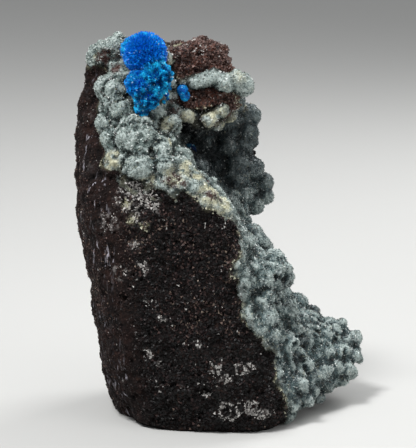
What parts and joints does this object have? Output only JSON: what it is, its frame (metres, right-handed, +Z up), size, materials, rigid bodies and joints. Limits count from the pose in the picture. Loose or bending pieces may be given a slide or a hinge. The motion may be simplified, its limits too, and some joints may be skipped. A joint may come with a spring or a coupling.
{
  "type": "cavansite specimen",
  "caption": "Dark basalt chunk standing on its broken base, its open cavity lined with grey-green druse, with ball-shaped rosettes of bright blue cavansite crystals near the top.",
  "frame": {"origin": "middle of the bounding box's underside, on the plane that the stone stands on", "axes": "+Z up, -Y towards the display side, where the druse and the blue rosettes show, +X towards the cavity's side"},
  "size_m": [0.0624, 0.0506, 0.0823],
  "materials": {
    "basalt": "rough, finely pitted, with rust-brown grains",
    "druse": "sugary fine crystals that sparkle",
    "cavansite": "radiating crystals with a glassy lustre"
  },
  "bodies": {
    "root": {"basalt_matrix": "basalt", "druse_crust": "druse", "cavansite_cluster": "cavansite", "cavansite_small": "cavansite", "cavansite_pocket": "cavansite"}
  },
  "joints": []
}
